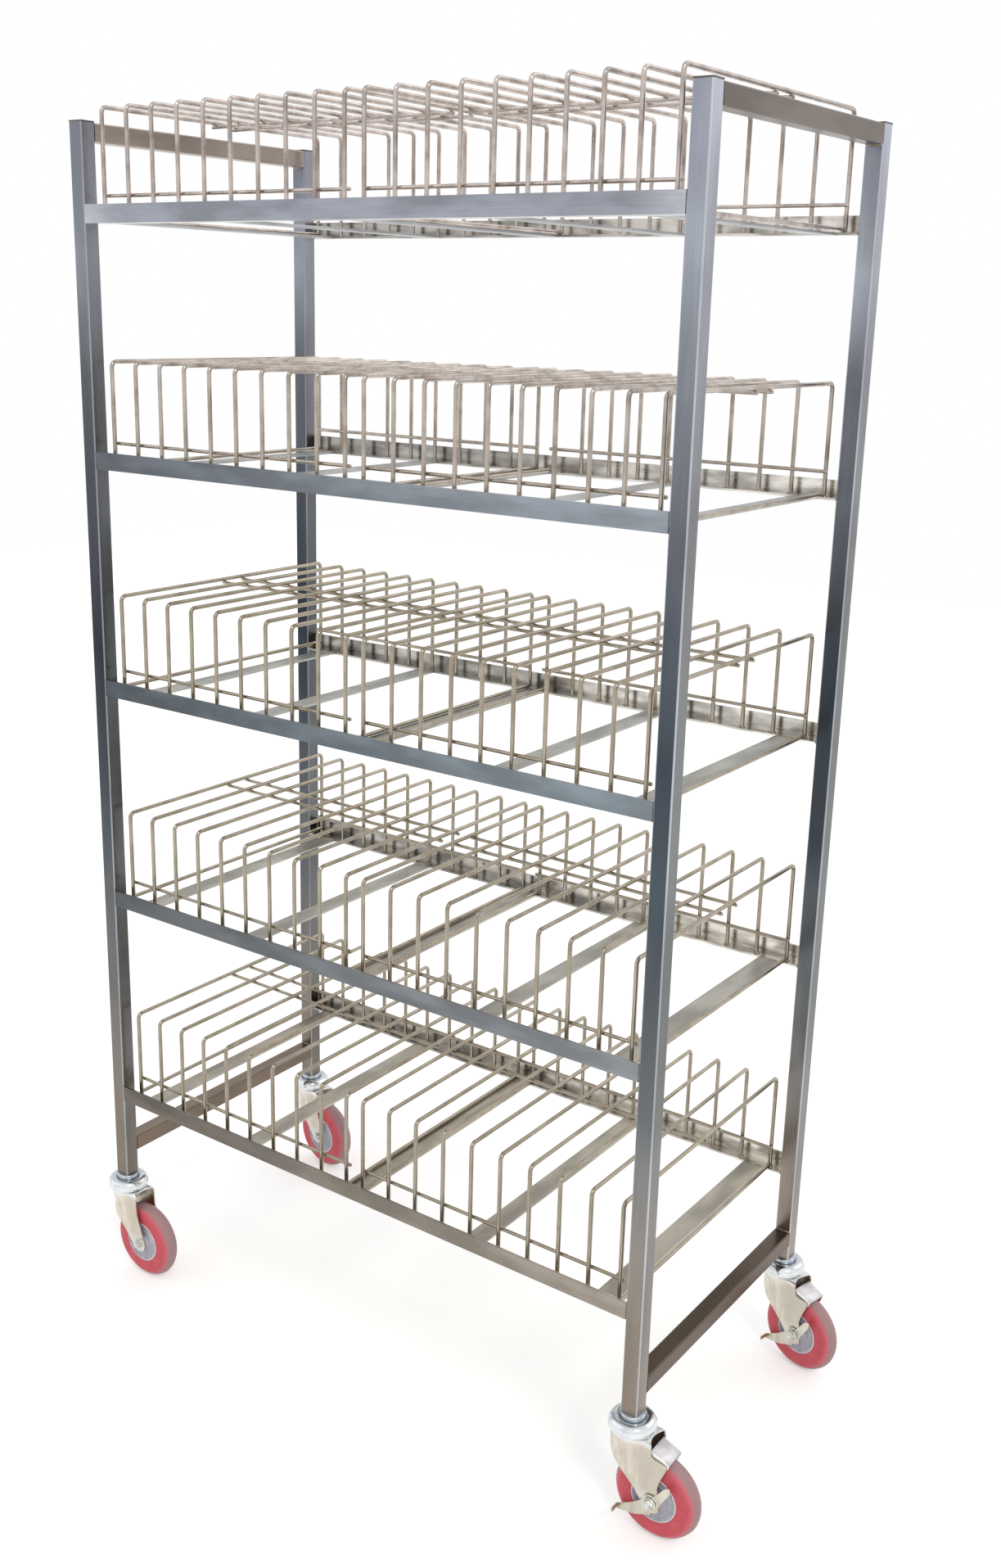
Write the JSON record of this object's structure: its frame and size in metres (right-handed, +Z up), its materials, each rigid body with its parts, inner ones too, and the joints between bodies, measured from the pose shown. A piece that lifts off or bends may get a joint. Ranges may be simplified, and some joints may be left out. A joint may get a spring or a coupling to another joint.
{
  "type": "plate drying rack",
  "caption": "Tall mobile plate drying rack: square-tube frame, shelves of upright wire dividers, swivel casters with foot brakes on one end.",
  "frame": {"origin": "on the floor, midway between the four posts", "axes": "+X along the shelves towards the braked casters, +Y from front to back, +Z up"},
  "size_m": [1.1145, 0.5208, 1.82],
  "materials": {
    "frame_steel": "satin brushed stainless tube and angle",
    "wire_steel": "warm drawn stainless wire",
    "cover_bright": "bright plated pressing",
    "zinc_plate": "pale zinc plated sheet",
    "bolt_steel": "plated fasteners",
    "hub_grey": "grey moulded hub",
    "tyre_red": "red moulded tread with a soft sheen"
  },
  "bodies": {
    "frame": {"caster_stems": "bolt_steel", "low_end_rail_left": "frame_steel", "low_end_rail_right": "frame_steel", "post_back_left": "frame_steel", "post_back_right": "frame_steel", "post_caps": "frame_steel", "post_front_left": "frame_steel", "post_front_right": "frame_steel", "raceway_covers": "cover_bright", "shelf_1_back_rail": "frame_steel", "shelf_1_cross_bars": "frame_steel", "shelf_1_dividers": "wire_steel", "shelf_1_front_rail": "frame_steel", "shelf_1_long_wires": "wire_steel", "shelf_2_back_rail": "frame_steel", "shelf_2_cross_bars": "frame_steel", "shelf_2_dividers": "wire_steel", "shelf_2_front_rail": "frame_steel", "shelf_2_long_wires": "wire_steel", "shelf_3_back_rail": "frame_steel", "shelf_3_cross_bars": "frame_steel", "shelf_3_dividers": "wire_steel", "shelf_3_front_rail": "frame_steel", "shelf_3_long_wires": "wire_steel", "shelf_4_back_rail": "frame_steel", "shelf_4_cross_bars": "frame_steel", "shelf_4_dividers": "wire_steel", "shelf_4_front_rail": "frame_steel", "shelf_4_long_wires": "wire_steel", "shelf_5_back_rail": "frame_steel", "shelf_5_cross_bars": "frame_steel", "shelf_5_dividers": "wire_steel", "shelf_5_front_rail": "frame_steel", "shelf_5_long_wires": "wire_steel", "stem_sockets": "bolt_steel", "top_end_rail_left": "frame_steel", "top_end_rail_right": "frame_steel"},
    "caster_front_left": {"fork_front_left": "zinc_plate", "axle_front_left": "bolt_steel"},
    "wheel_front_left": {"hub_front_left": "hub_grey", "tyre_front_left": "tyre_red"},
    "caster_front_right": {"fork_front_right": "zinc_plate", "axle_front_right": "bolt_steel", "brake_pin_front_right": "bolt_steel"},
    "wheel_front_right": {"hub_front_right": "hub_grey", "tyre_front_right": "tyre_red"},
    "lever_front_right": {"brake_lever_front_right": "zinc_plate"},
    "shoe_front_right": {"brake_shoe_front_right": "zinc_plate"},
    "caster_back_left": {"fork_back_left": "zinc_plate", "axle_back_left": "bolt_steel"},
    "wheel_back_left": {"hub_back_left": "hub_grey", "tyre_back_left": "tyre_red"},
    "caster_back_right": {"fork_back_right": "zinc_plate", "axle_back_right": "bolt_steel", "brake_pin_back_right": "bolt_steel"},
    "wheel_back_right": {"hub_back_right": "hub_grey", "tyre_back_right": "tyre_red"},
    "lever_back_right": {"brake_lever_back_right": "zinc_plate"},
    "shoe_back_right": {"brake_shoe_back_right": "zinc_plate"}
  },
  "joints": [
    {"name": "swivel_front_left", "type": "hinge", "parent": "frame", "child": "caster_front_left", "pos_m": [-0.4875, -0.2265, 0.148], "axis": [0, 0, 1], "continuous": true},
    {"name": "roll_front_left", "type": "hinge", "parent": "caster_front_left", "child": "wheel_front_left", "pos_m": [-0.4435, -0.22688, 0.0625], "axis": [0.0087, 1, 0], "continuous": true},
    {"name": "swivel_front_right", "type": "hinge", "parent": "frame", "child": "caster_front_right", "pos_m": [0.4875, -0.2265, 0.148], "axis": [0, 0, 1], "continuous": true},
    {"name": "roll_front_right", "type": "hinge", "parent": "caster_front_right", "child": "wheel_front_right", "pos_m": [0.53149, -0.2255, 0.0625], "axis": [-0.0227, 0.9997, 0], "continuous": true},
    {"name": "brake_press_front_right", "type": "hinge", "parent": "caster_front_right", "child": "lever_front_right", "pos_m": [0.53149, -0.2255, 0.0625], "axis": [0.0227, -0.9997, 0], "range_deg": [0, 20]},
    {"name": "shoe_swing_front_right", "type": "hinge", "parent": "caster_front_right", "child": "shoe_front_right", "pos_m": [0.52349, -0.22568, 0.129], "axis": [-0.0227, 0.9997, 0], "range_deg": [0, 2.9]},
    {"name": "swivel_back_left", "type": "hinge", "parent": "frame", "child": "caster_back_left", "pos_m": [-0.4875, 0.2265, 0.148], "axis": [0, 0, 1], "continuous": true},
    {"name": "roll_back_left", "type": "hinge", "parent": "caster_back_left", "child": "wheel_back_left", "pos_m": [-0.44398, 0.22, 0.0625], "axis": [0.1478, 0.989, 0], "continuous": true},
    {"name": "swivel_back_right", "type": "hinge", "parent": "frame", "child": "caster_back_right", "pos_m": [0.4875, 0.2265, 0.148], "axis": [0, 0, 1], "continuous": true},
    {"name": "roll_back_right", "type": "hinge", "parent": "caster_back_right", "child": "wheel_back_right", "pos_m": [0.53057, 0.2175, 0.0625], "axis": [0.2045, 0.9789, 0], "continuous": true},
    {"name": "brake_press_back_right", "type": "hinge", "parent": "caster_back_right", "child": "lever_back_right", "pos_m": [0.53057, 0.2175, 0.0625], "axis": [-0.2045, -0.9789, 0], "range_deg": [0, 20]},
    {"name": "shoe_swing_back_right", "type": "hinge", "parent": "caster_back_right", "child": "shoe_back_right", "pos_m": [0.52274, 0.21914, 0.129], "axis": [0.2045, 0.9789, 0], "range_deg": [0, 2.9]}
  ],
  "couplings": [
    {"joint": "shoe_swing_front_right", "follows": "brake_press_front_right", "ratio": 0.145},
    {"joint": "shoe_swing_back_right", "follows": "brake_press_back_right", "ratio": 0.145}
  ]
}
